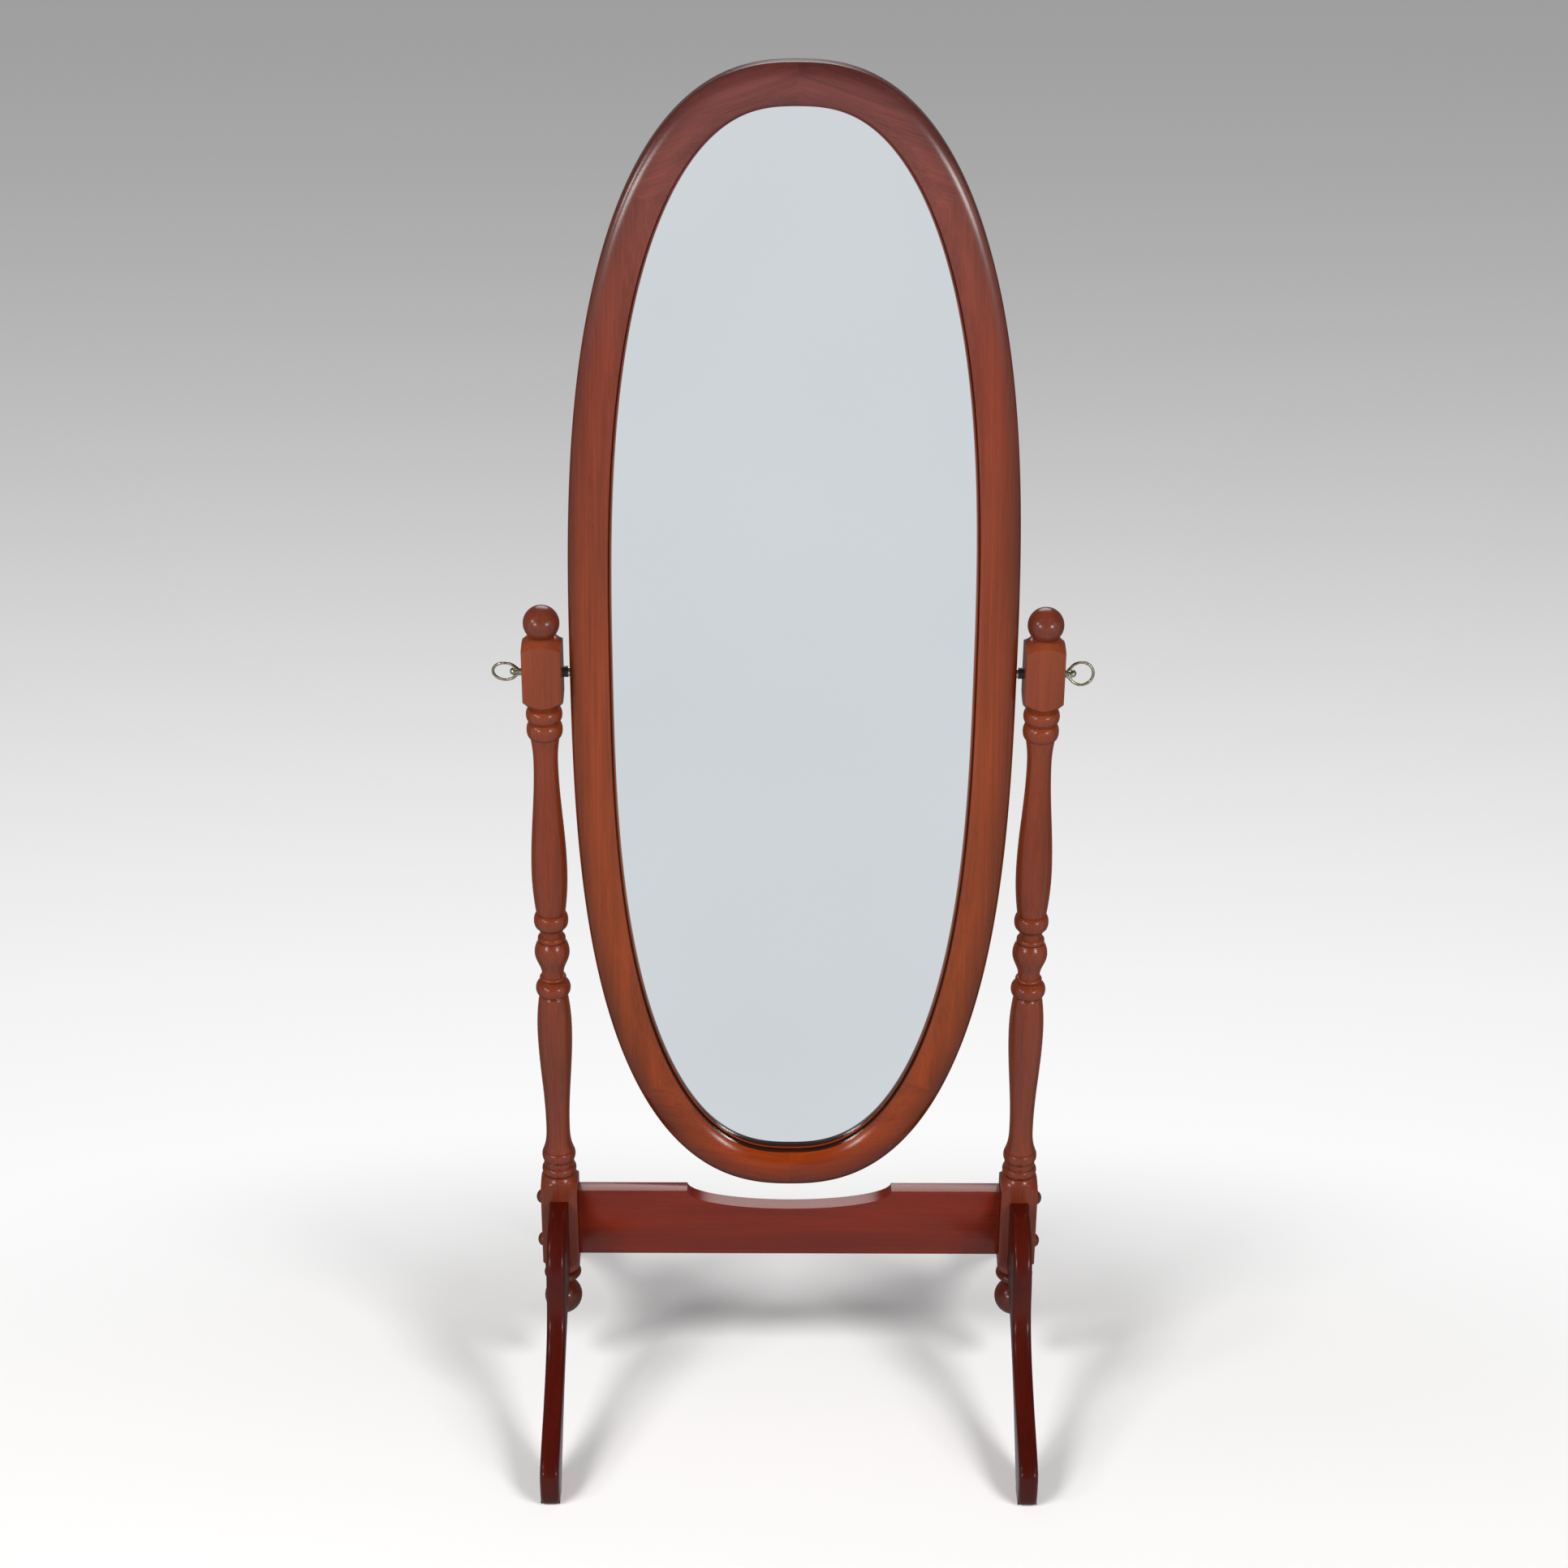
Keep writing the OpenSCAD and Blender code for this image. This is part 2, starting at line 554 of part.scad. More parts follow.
// Flat oval plate set in from the outer edge, with its front face at a depth
module oval_plate(inset, y, thick) {
    translate([0, y + thick, pivot_z]) rotate([90, 0, 0]) linear_extrude(thick)
        polygon([for (t = [0:sweep_step:359]) oval_at(t, inset)]);
}
module mirror_glass() { color("lightblue") oval_plate(lip + glass_fit, glass_y, glass_t); }
module backing_board() {
    color("tan") difference() {
        oval_plate(board_rim + glass_fit, board_y, board_t);
        for (t = screw_angles()) at_screw(t) translate([0, 0, -1])
            cylinder(r = board_screw_r + wood_fit, h = board_t + 2, $fn = 24);
    }
}
module backing_screws() {
    color("silver") for (t = screw_angles()) at_screw(t) {
        cylinder(r = board_screw_r, h = board_t + screw_depth, $fn = 24);
        translate([0, 0, -0.6]) cylinder(r = board_screw_r * 2, h = 0.6, $fn = 24);
        translate([0, 0, -1.4]) cylinder(r1 = board_screw_r * 1.2, r2 = board_screw_r * 2, h = 0.8, $fn = 24);
    }
}

// Threaded insert in the frame, with a flange against its edge
module pivot_insert() {
    translate([oval_w / 2 - insert_l, 0, pivot_z]) rotate([0, 90, 0]) difference() {
        union() {
            cylinder(r = insert_r, h = insert_l + 0.5);
            translate([0, 0, insert_l]) cylinder(r = flange_r, h = flange_t);
        }
        translate([0, 0, -1]) cylinder(r = shank_r + run_fit, h = insert_l + flange_t + 2);
    }
}
module right_pivot_insert() { color("silver") pivot_insert(); }
module left_pivot_insert() { color("silver") mirror([1, 0, 0]) pivot_insert(); }

// Friction washer between the insert and the post
module pivot_washer() {
    translate([oval_w / 2 + flange_t, 0, pivot_z]) rotate([0, 90, 0]) difference() {
        cylinder(r = washer_r, h = pivot_gap - flange_t);
        translate([0, 0, -1]) cylinder(r = shank_r + run_fit, h = pivot_gap + 2);
    }
}
module right_pivot_washer() { color("dimgray") pivot_washer(); }
module left_pivot_washer() { color("dimgray") mirror([1, 0, 0]) pivot_washer(); }

// Thumb screw with a ring head: collar, neck, open ring and a domed button inside it
neck_x = 4;
ring_x = neck_x + ring_r + 2;
ring_open = 33;      // half the opening of the ring at its neck, in degrees
module thumb_screw() {
    start = [ring_x - ring_r * cos(ring_open), ring_r * sin(ring_open)];
    rotate([0, 90, 0]) {
        translate([0, 0, -(block_w + pivot_gap + insert_l - 2)])
            cylinder(r = shank_r, h = block_w + pivot_gap + insert_l);
        translate([0, 0, 0.3]) cylinder(r = shank_r + 1.2, h = neck_x);
        translate([0, 0, 0.3]) cylinder(r = wire_r * 1.3, h = 8, $fn = 32);
        turned([for (i = [0:10]) let (a = 90 * i / 10) [4.2 * cos(a), 8 + 1.2 + 4.4 * sin(a)]]);
        translate([0, 0, 7.9]) cylinder(r = 4.2, h = 1.4);
    }
    // the ring stands in the XZ plane
    translate([ring_x, 0, 0]) rotate([90, 0, 0]) rotate([0, 0, 180 + ring_open])
        rotate_extrude(angle = 360 - 2 * ring_open, $fn = 72)
            translate([ring_r, 0]) circle(r = wire_r, $fn = 20);
    for (side = [-1, 1]) {
        reach = [start[0] - neck_x + 1, side * (start[1] - 1.5)];
        translate([neck_x - 1, 0, side * 1.5]) rotate([0, 90 - side * atan2(abs(reach[1]), reach[0]), 0])
            cylinder(r = wire_r, h = norm(reach) + 0.6, $fn = 20);
    }
}
module right_thumb_screw() {
    color(metal_old) translate([outer_x, 0, pivot_z]) rotate([right_ring_turn, 0, 0]) thumb_screw();
}
module left_thumb_screw() {
    color(metal_old) translate([-outer_x, 0, pivot_z]) rotate([left_ring_turn, 0, 0])
        mirror([1, 0, 0]) thumb_screw();
}

left_post();
right_post();
left_drop_finial();
right_drop_finial();
stretcher_rail();
front_left_leg();
front_right_leg();
rear_left_leg();
rear_right_leg();
front_left_leg_dowels();
front_right_leg_dowels();
rear_left_leg_dowels();
rear_right_leg_dowels();
left_rail_bolts();
right_rail_bolts();
left_barrel_nuts();
right_barrel_nuts();
left_bolt_caps();
right_bolt_caps();
frame_left_side();
frame_right_side();
frame_top_left();
frame_top_right();
frame_bottom_left();
frame_bottom_right();
mirror_glass();
backing_board();
backing_screws();
left_pivot_insert();
right_pivot_insert();
left_pivot_washer();
right_pivot_washer();
left_thumb_screw();
right_thumb_screw();
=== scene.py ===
"""Looks of a tilting oval mirror on a turned stand: red-brown lacquer, silvered glass, aged plated rings."""
import json
import math

import bmesh
import bpy
from mathutils import Matrix, Vector


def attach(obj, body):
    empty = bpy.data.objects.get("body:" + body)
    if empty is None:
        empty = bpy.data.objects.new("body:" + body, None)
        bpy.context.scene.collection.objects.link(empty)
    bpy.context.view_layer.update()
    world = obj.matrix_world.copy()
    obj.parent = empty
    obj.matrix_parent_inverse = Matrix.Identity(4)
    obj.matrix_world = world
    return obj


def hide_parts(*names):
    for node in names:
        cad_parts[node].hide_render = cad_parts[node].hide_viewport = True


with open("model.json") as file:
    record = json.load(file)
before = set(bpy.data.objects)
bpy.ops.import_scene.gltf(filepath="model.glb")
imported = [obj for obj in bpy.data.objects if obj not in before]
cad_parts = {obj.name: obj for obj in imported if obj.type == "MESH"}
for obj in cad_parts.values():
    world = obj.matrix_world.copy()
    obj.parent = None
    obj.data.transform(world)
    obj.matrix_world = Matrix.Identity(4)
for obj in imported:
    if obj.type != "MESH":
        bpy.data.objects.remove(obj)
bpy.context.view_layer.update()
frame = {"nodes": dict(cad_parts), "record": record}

MM = 0.001
NODES = frame["nodes"]
RECORD = frame["record"]
BODY_OF = {node: body for body, nodes in RECORD["behaviour"]["bodies"].items() for node in nodes}
SLOT_OF = {part["node"]: part["material_slot"] for part in RECORD["subparts"]}


# Colours and shader nodes

def linear(hex_colour):
    """An sRGB hex value as the linear colour that a shader works in."""
    shares = [int(hex_colour[start:start + 2], 16) / 255 for start in (1, 3, 5)]
    levels = [share / 12.92 if share <= 0.04045 else ((share + 0.055) / 1.055) ** 2.4 for share in shares]
    return (*levels, 1.0)


def add(tree, kind, inputs=None, **settings):
    """Adds one node, sets its properties and sockets, and links sockets that are given another's output."""
    node = tree.nodes.new(kind)
    for key, value in settings.items():
        setattr(node, key, value)
    for key, value in (inputs or {}).items():
        if isinstance(value, bpy.types.NodeSocket):
            tree.links.new(value, node.inputs[key])
        else:
            node.inputs[key].default_value = value
    return node


def new_material(name):
    """An empty material with one Principled shader: the material, its node tree and the shader."""
    material = bpy.data.materials.new(name)
    material.use_nodes = True
    tree = material.node_tree
    tree.nodes.clear()
    output = add(tree, "ShaderNodeOutputMaterial")
    shader = add(tree, "ShaderNodeBsdfPrincipled")
    tree.links.new(shader.outputs["BSDF"], output.inputs["Surface"])
    return material, tree, shader


def set_values(shader, **values):
    """Sets uniform numbers on the shader's sockets; an underscore stands for a space in a socket's name."""
    for key, value in values.items():
        shader.inputs[key.replace("_", " ")].default_value = value


def set_ramp(ramp, stops):
    """Gives a colour ramp its stops, as (position, sRGB hex) pairs."""
    elements = ramp.color_ramp.elements
    while len(elements) < len(stops):
        elements.new(0.5)
    for element, (position, colour) in zip(elements, stops):
        element.position = position
        element.color = linear(colour)


# Wood and lacquer

STREAK = (1.9, 150.0)      # width and length of a grain streak, in mm
FIGURE = (22.0, 260.0)     # width and length of a broader band of tone, in mm
PORE = (0.9, 14.0)         # pores are drawn coarser than the real 0.2 mm, so that they show
STREAK_DARK, STREAK_LIGHT = 0.74, 1.2      # how far a streak darkens or lightens the stain
PORE_DARK = 0.62           # how far a pore darkens it
STREAK_NOISE = (0.36, 0.64)    # the noise levels that make the darkest and the lightest streak
PORE_NOISE = (0.6, 0.8)    # only the noise's peaks are pores
STAIN_TOP = 1.6            # the height in metres where the stain's scale ends
RIPPLE = 26 * MM           # from crest to crest of the lacquer's slight waves
EDGE_SHADE_FROM, EDGE_SHADE_TO = 3 * MM, 26 * MM     # painted shade along the outer edge: full up to the first, gone at the second
# Painted shade: how dark the face is, from the outer edge inwards
EDGE_SHADE = ((0.0, "#BABABA"), (0.15, "#C4C4C4"), (0.35, "#D8D8D8"), (0.6, "#EAEAEA"), (1.0, "#FFFFFF"))


def lacquered_wood(name, stain, grain=(0, 0, 1), shift=0.0, coat=0.6, shaded=False):
    """Stained hardwood, sprayed with gloss lacquer: soft streaks under a clear coat with wavering gleams.

    stain gives the colour by height as (metres above the floor, hex) pairs, grain the way the fibres run,
    and coat how much of the gloss is left. A shaded piece has painted shade along its outer edge, by its
    edge_depth attribute.
    """
    material, tree, shader = new_material(name)
    place = add(tree, "ShaderNodeTexCoord").outputs["Object"]
    turn = Vector(grain).normalized().rotation_difference(Vector((0, 0, 1))).to_euler()
    offset = (shift, shift * 0.7, shift * 1.3)
    aligned = add(tree, "ShaderNodeMapping", {"Vector": place, "Rotation": turn, "Location": offset})

    def grain_layer(size, detail, rough):
        """Noise drawn out along the grain, size being its width and length."""
        width, length = size
        stretch = (1 / (width * MM), 1 / (width * MM), 1 / (length * MM))
        scaled = add(tree, "ShaderNodeVectorMath", {0: aligned.outputs[0], 1: stretch},
                     operation="MULTIPLY")
        noise = add(tree, "ShaderNodeTexNoise", {"Vector": scaled.outputs[0], "Scale": 1.0, "Detail": detail,
                    "Roughness": rough})
        return noise.outputs["Fac"]

    streak = grain_layer(STREAK, 3.0, 0.6)
    figure = grain_layer(FIGURE, 2.0, 0.5)
    pore = grain_layer(PORE, 2.0, 0.6)
    height = add(tree, "ShaderNodeSeparateXYZ", {0: place}).outputs["Z"]
    share = add(tree, "ShaderNodeMapRange", {"Value": height, "From Max": STAIN_TOP})
    ramp = add(tree, "ShaderNodeValToRGB", {"Fac": share.outputs[0]})
    set_ramp(ramp, [(level / STAIN_TOP, colour) for level, colour in stain])
    mixed = add(tree, "ShaderNodeMix", {"Factor": 0.5, 2: figure, 3: streak}, data_type="FLOAT")
    depth = add(tree, "ShaderNodeMapRange", {"Value": mixed.outputs[0], "From Min": STREAK_NOISE[0],
                "From Max": STREAK_NOISE[1], "To Min": STREAK_DARK, "To Max": STREAK_LIGHT})
    pores = add(tree, "ShaderNodeMapRange", {"Value": pore, "From Min": PORE_NOISE[0],
                "From Max": PORE_NOISE[1], "To Min": 1.0, "To Max": PORE_DARK})
    tone = add(tree, "ShaderNodeMath", {0: depth.outputs[0], 1: pores.outputs[0]}, operation="MULTIPLY")
    finish = add(tree, "ShaderNodeMix", {"Factor": 1.0, 6: ramp.outputs["Color"], 7: tone.outputs[0]},
                 data_type="RGBA", blend_type="MULTIPLY").outputs[2]
    # Painted shade: darker towards the outer edge, by how far in a point lies
    if shaded:
        inset = add(tree, "ShaderNodeAttribute", attribute_name="edge_depth").outputs["Fac"]
        edge_share = add(tree, "ShaderNodeMapRange", {"Value": inset, "From Min": EDGE_SHADE_FROM,
                    "From Max": EDGE_SHADE_TO})
        edge_shade_ramp = add(tree, "ShaderNodeValToRGB", {"Fac": edge_share.outputs[0]})
        set_ramp(edge_shade_ramp, EDGE_SHADE)
        finish = add(tree, "ShaderNodeMix", {"Factor": 1.0, 6: finish, 7: edge_shade_ramp.outputs["Color"]},
                     data_type="RGBA", blend_type="MULTIPLY").outputs[2]
    tree.links.new(finish, shader.inputs["Base Color"])
    waves = add(tree, "ShaderNodeTexNoise", {"Vector": place, "Scale": 1 / RIPPLE, "Detail": 1.0})
    lacquer = add(tree, "ShaderNodeBump", {"Height": waves.outputs["Fac"], "Strength": 0.02,
                  "Distance": 1.5 * MM})
    tree.links.new(lacquer.outputs[0], shader.inputs["Coat Normal"])
    fibre = add(tree, "ShaderNodeBump", {"Height": streak, "Strength": 0.05, "Distance": 0.4 * MM})
    tree.links.new(fibre.outputs[0], shader.inputs["Normal"])
    set_values(shader, Roughness=0.5, IOR=1.5, Specular_IOR_Level=0.05)
    set_values(shader, Coat_Weight=coat, Coat_Roughness=0.21, Coat_IOR=1.5)
    return material


# Metal, glass, board and fibre

def plated_metal(name, base, worn, roughness, patch):
    """Plated metal, handled for years: a soft shine that goes dull in patches about patch mm across."""
    material, tree, shader = new_material(name)
    place = add(tree, "ShaderNodeTexCoord").outputs["Object"]
    wear = add(tree, "ShaderNodeTexNoise", {"Vector": place, "Scale": 1 / (patch * MM), "Detail": 4.0})
    ramp = add(tree, "ShaderNodeValToRGB", {"Fac": wear.outputs["Fac"]})
    set_ramp(ramp, ((0.38, worn), (0.62, base)))
    tree.links.new(ramp.outputs["Color"], shader.inputs["Base Color"])
    dull = add(tree, "ShaderNodeMapRange", {"Value": wear.outputs["Fac"], "To Min": roughness + 0.15,
               "To Max": roughness})
    tree.links.new(dull.outputs[0], shader.inputs["Roughness"])
    set_values(shader, Metallic=1.0)
    return material


def silvered_glass():
    """Float glass with a silver back: a clean, faintly cool mirror with hardly any haze."""
    material, tree, shader = new_material("silvered_glass")
    place = add(tree, "ShaderNodeTexCoord").outputs["Object"]
    haze = add(tree, "ShaderNodeTexNoise", {"Vector": place, "Scale": 1 / (300 * MM), "Detail": 1.0})
    ramp = add(tree, "ShaderNodeValToRGB", {"Fac": haze.outputs["Fac"]})
    set_ramp(ramp, ((0.3, "#F4F7F8"), (0.7, "#F7F9FA")))
    tree.links.new(ramp.outputs["Color"], shader.inputs["Base Color"])
    set_values(shader, Metallic=1.0, Roughness=0.015)
    return material


def fibreboard():
    """Hardboard as it comes from the press: brown, matt and flecked."""
    material, tree, shader = new_material("brown_hardboard")
    place = add(tree, "ShaderNodeTexCoord").outputs["Object"]
    fleck = add(tree, "ShaderNodeTexNoise", {"Vector": place, "Scale": 1 / (4 * MM), "Detail": 5.0,
                "Roughness": 0.7}).outputs["Fac"]
    ramp = add(tree, "ShaderNodeValToRGB", {"Fac": fleck})
    set_ramp(ramp, ((0.35, "#5E4026"), (0.5, "#755233"), (0.68, "#8B6642")))
    tree.links.new(ramp.outputs["Color"], shader.inputs["Base Color"])
    bump = add(tree, "ShaderNodeBump", {"Height": fleck, "Strength": 0.25, "Distance": 0.3 * MM})
    tree.links.new(bump.outputs[0], shader.inputs["Normal"])
    set_values(shader, Roughness=0.75)
    return material


def black_fibre():
    """Pressed black fibre, as washers are cut from: dull, with a faint grit."""
    material, tree, shader = new_material("black_fibre")
    place = add(tree, "ShaderNodeTexCoord").outputs["Object"]
    grit = add(tree, "ShaderNodeTexNoise", {"Vector": place, "Scale": 1 / (1.2 * MM), "Detail": 3.0})
    ramp = add(tree, "ShaderNodeValToRGB", {"Fac": grit.outputs["Fac"]})
    set_ramp(ramp, ((0.35, "#14100E"), (0.65, "#241D1A")))
    tree.links.new(ramp.outputs["Color"], shader.inputs["Base Color"])
    set_values(shader, Roughness=0.5)
    return material


# The stain of each kind of piece by height. The frame's is more orange low down and cooler at the crown,
# where the mauve tone is painted sheen, a reflection of the room above

# Real red-brown stain, with painted sheen in the cool mauve stops towards the crown
FRAME_STAIN_AND_SHEEN = ((0.27, "#792A02"), (0.5, "#7D340C"), (0.88, "#813616"), (1.2, "#752F1B"), (1.38, "#713930"),
               (1.5, "#663432"))
POST_STAIN = ((0.1, "#66291A"), (0.45, "#6F301C"), (0.7, "#6B2A12"), (0.915, "#74341C"), (0.93, "#602A1C"))
# Painted shade in the groove by the bead and on the wall down to the glass, darkest low down
QUIRK_PAINTED_SHADE = ((0.27, "#240D06"), (0.42, "#3A190D"), (0.6, "#5F2C1A"), (0.9, "#703626"), (1.5, "#673A31"))
DROP_STAIN = ((0.1, "#4E1D0E"), (0.2, "#5A2513"))
LEG_STAIN = ((0.0, "#3E0A03"), (0.25, "#450E05"))
RAIL_STAIN = ((0.1, "#691903"), (0.25, "#6B1A03"))
BEECH_STAIN = ((0.0, "#B99668"), (1.0, "#B99668"))

FRAME_GRAIN = {"frame_left_side": (0.02, 0, 1), "frame_right_side": (-0.02, 0, 1),
               "frame_top_left": (1, 0, 0.35), "frame_top_right": (-1, 0, 0.35),
               "frame_bottom_left": (-1, 0, 0.2), "frame_bottom_right": (1, 0, 0.2)}


def finishes_by_node():
    """The material of each node: wood by the kind of piece, everything else by its material slot."""
    chosen = {}
    for index, (node, grain) in enumerate(FRAME_GRAIN.items()):
        chosen[node] = lacquered_wood("lacquered_" + node, FRAME_STAIN_AND_SHEEN, grain, 0.37 * index, shaded=True)
    post_wood = lacquered_wood("lacquered_posts", POST_STAIN)
    drop_wood = lacquered_wood("lacquered_drops", DROP_STAIN, shift=0.4)
    leg_wood = lacquered_wood("lacquered_legs", LEG_STAIN, (0, 0.75, 0.65), coat=0.35)
    cap_wood = lacquered_wood("lacquered_caps", DROP_STAIN, (1, 0, 0), 0.2)
    for side in ("left", "right"):
        chosen[side + "_post"] = post_wood
        chosen[side + "_drop_finial"] = drop_wood
        chosen[side + "_bolt_caps"] = cap_wood
        for end in ("front", "rear"):
            chosen[end + "_" + side + "_leg"] = leg_wood
    chosen["stretcher_rail"] = lacquered_wood("lacquered_rail", RAIL_STAIN, (1, 0, 0))
    by_slot = {"dowel_wood": lacquered_wood("bare_beech", BEECH_STAIN, (0, 1, 0)),
               "board": fibreboard(),
               "mirror": silvered_glass(),
               "ring_metal": plated_metal("aged_plated_steel", "#B9B29C", "#857E68", 0.3, 3.0),
               "insert_steel": plated_metal("bright_plated_steel", "#CFCBC4", "#A9A49A", 0.25, 4.0),
               "washer": black_fibre(),
               "zinc_steel": plated_metal("zinc_plated_steel", "#B9BCBE", "#8F9496", 0.35, 3.0)}
    for node, slot in SLOT_OF.items():
        if node not in chosen:
            chosen[node] = by_slot[slot]
    return chosen


FINISHES = finishes_by_node()
# The darker wood that paints shade into the groove and onto the wall down to the glass
QUIRK_SHADE_WOOD = lacquered_wood("lacquered_quirk_painted_shade", QUIRK_PAINTED_SHADE)


# Pieces

SHARP_ANGLE = 38.0         # in degrees: flatter edges are shaded smooth
MERGE_GAP = 0.02 * MM      # vertices closer than this become one
FLAT_ANGLE = 0.6           # in degrees: faces that meet flatter than this become one
SQUARE_ANGLE = 80.0        # in degrees: edges squarer than this are eased
SQUARE_LENGTH = 12 * MM    # where they are longer than this


def place_piece(work, node):
    """Makes the finished mesh an object that stands for a CAD node, with its material, body and slot."""
    mesh = bpy.data.meshes.new(node + "_finished")
    work.to_mesh(mesh)
    work.free()
    for attribute in [found for found in mesh.attributes if found.name == "custom_normal"]:
        mesh.attributes.remove(attribute)
    mesh.shade_smooth()
    mesh.set_sharp_from_angle(angle=math.radians(SHARP_ANGLE))
    mesh.materials.clear()
    mesh.materials.append(FINISHES[node])
    piece = bpy.data.objects.new(node + "_finished", mesh)
    bpy.context.scene.collection.objects.link(piece)
    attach(piece, BODY_OF[node])
    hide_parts(node)
    return piece


def finished(node, ease):
    """A smooth copy of a CAD node; where ease is above zero, its square edges get a small round."""
    work = bmesh.new()
    work.from_mesh(NODES[node].data)
    bmesh.ops.remove_doubles(work, verts=work.verts, dist=MERGE_GAP)
    if ease:
        bmesh.ops.dissolve_limit(work, angle_limit=math.radians(FLAT_ANGLE), verts=work.verts,
                                 edges=work.edges)
        square = [edge for edge in work.edges if len(edge.link_faces) == 2
                  and edge.calc_face_angle(0) > math.radians(SQUARE_ANGLE)
                  and edge.calc_length() > SQUARE_LENGTH]
        bmesh.ops.bevel(work, geom=square, offset=ease, segments=3, profile=0.5, affect="EDGES", material=-1)
    for layer in list(work.loops.layers.uv.values()):
        work.loops.layers.uv.remove(layer)
    place_piece(work, node)


# The oval frame, with the sizes that the solids have

OVAL_WIDE, OVAL_HIGH = 464 * MM, 1252 * MM
OVAL_POWERS = (2.42, 2.74)     # across and along: 2 would be an ellipse, more is squarer
AXIS_HIGH = 880 * MM
FACE_WIDE, THICK = 44 * MM, 26 * MM
ROUND_WIDE, ROUND_DEEP = 19 * MM, 8.2 * MM     # the outer rounding, in from the edge and back from the crest
FALL_DEEP = 8.7 * MM       # how far the face falls towards the bead
BEAD_WIDE, BEAD_DEEP = 3.2 * MM, 15.5 * MM
BEAD_SWEEP = 130           # how many degrees of round the bead shows
QUIRK_WIDE = 0.4 * MM      # the groove between the face and the bead
WALL_IN = FACE_WIDE - 0.6 * MM     # where the bead has ended and the wall down to the glass begins
SLACK = 0.1 * MM           # more than rounding can move a point
BACK_CHAMFER = 2 * MM
GLASS_DEEP, GLASS_THICK, LEDGE, BOARD_LEDGE = 20 * MM, 3 * MM, 7 * MM, 8 * MM
ROUND_STEPS, FALL_STEPS, BEAD_STEPS = 18, 14, 9

# Where each member starts and ends, in degrees round the circle that the oval is drawn from
MEMBERS = {"frame_right_side": (-48, 48), "frame_top_right": (48, 90), "frame_top_left": (90, 132),
           "frame_left_side": (132, 228), "frame_bottom_left": (228, 270), "frame_bottom_right": (270, 312)}


def frame_section():
    """The frame's cross-section: (distance in from the outer edge, depth behind the crest) points."""
    bead_in = FACE_WIDE - BEAD_WIDE
    bead_round = BEAD_WIDE / 2
    bead_middle = BEAD_DEEP + bead_round
    run = bead_in - QUIRK_WIDE - ROUND_WIDE
    radius = (run * run + FALL_DEEP * FALL_DEEP) / (2 * FALL_DEEP)
    points = [(BACK_CHAMFER, THICK), (0, THICK - BACK_CHAMFER)]
    for step in range(ROUND_STEPS + 1):
        turn = math.radians(90 * step / ROUND_STEPS)
        points.append((ROUND_WIDE * (1 - math.cos(turn)), ROUND_DEEP * (1 - math.sin(turn))))
    for step in range(1, FALL_STEPS + 1):
        turn = math.asin(run / radius) * step / FALL_STEPS
        points.append((ROUND_WIDE + radius * math.sin(turn), radius * (1 - math.cos(turn))))
    points.append((bead_in, bead_middle))
    for step in range(1, BEAD_STEPS + 1):
        turn = math.radians(180 - BEAD_SWEEP * step / BEAD_STEPS)
        points.append((bead_in + bead_round * (1 + math.cos(turn)),
                       BEAD_DEEP + bead_round * (1 - math.sin(turn))))
    glass_back = GLASS_DEEP + GLASS_THICK
    glass_edge = FACE_WIDE - LEDGE
    board_edge = glass_edge - BOARD_LEDGE
    points += [(FACE_WIDE, bead_middle + 1 * MM), (FACE_WIDE, GLASS_DEEP), (glass_edge, GLASS_DEEP),
               (glass_edge, glass_back), (board_edge, glass_back), (board_edge, THICK)]
    return points


def in_quirk(face):
    """Whether a face of the spun ring is in the groove beside the bead, or on the wall down to the glass,
    where shade is painted.
    """
    insets = [1 - math.hypot(vert.co.x, vert.co.z) for vert in face.verts]
    front = min(vert.co.y for vert in face.verts) + THICK / 2
    inside_fall = min(insets) > FACE_WIDE - BEAD_WIDE - QUIRK_WIDE - SLACK
    return inside_fall and (front < BEAD_DEEP - SLACK or min(insets) > WALL_IN)


def signed_power(value, exponent):
    """A power that keeps the value's sign."""
    return math.copysign(abs(value) ** exponent, value)


def draw_out_to_oval(work):
    """Moves the spun ring from a circle of radius 1 to the oval, and notes how far in each vertex lies."""
    across, along = OVAL_POWERS
    edge_depth = work.verts.layers.float.new("edge_depth")
    for vert in work.verts:
        turn = math.atan2(vert.co.z, vert.co.x)
        inset = 1 - math.hypot(vert.co.x, vert.co.z)
        cosine, sine = math.cos(turn), math.sin(turn)
        outward = Vector((across * signed_power(cosine, 2 - 2 / across) / OVAL_WIDE, 0,
                          along * signed_power(sine, 2 - 2 / along) / OVAL_HIGH)).normalized()
        edge = Vector((OVAL_WIDE / 2 * signed_power(cosine, 2 / across), vert.co.y,
                       AXIS_HIGH + OVAL_HIGH / 2 * signed_power(sine, 2 / along)))
        vert.co = edge - outward * inset
        vert[edge_depth] = inset


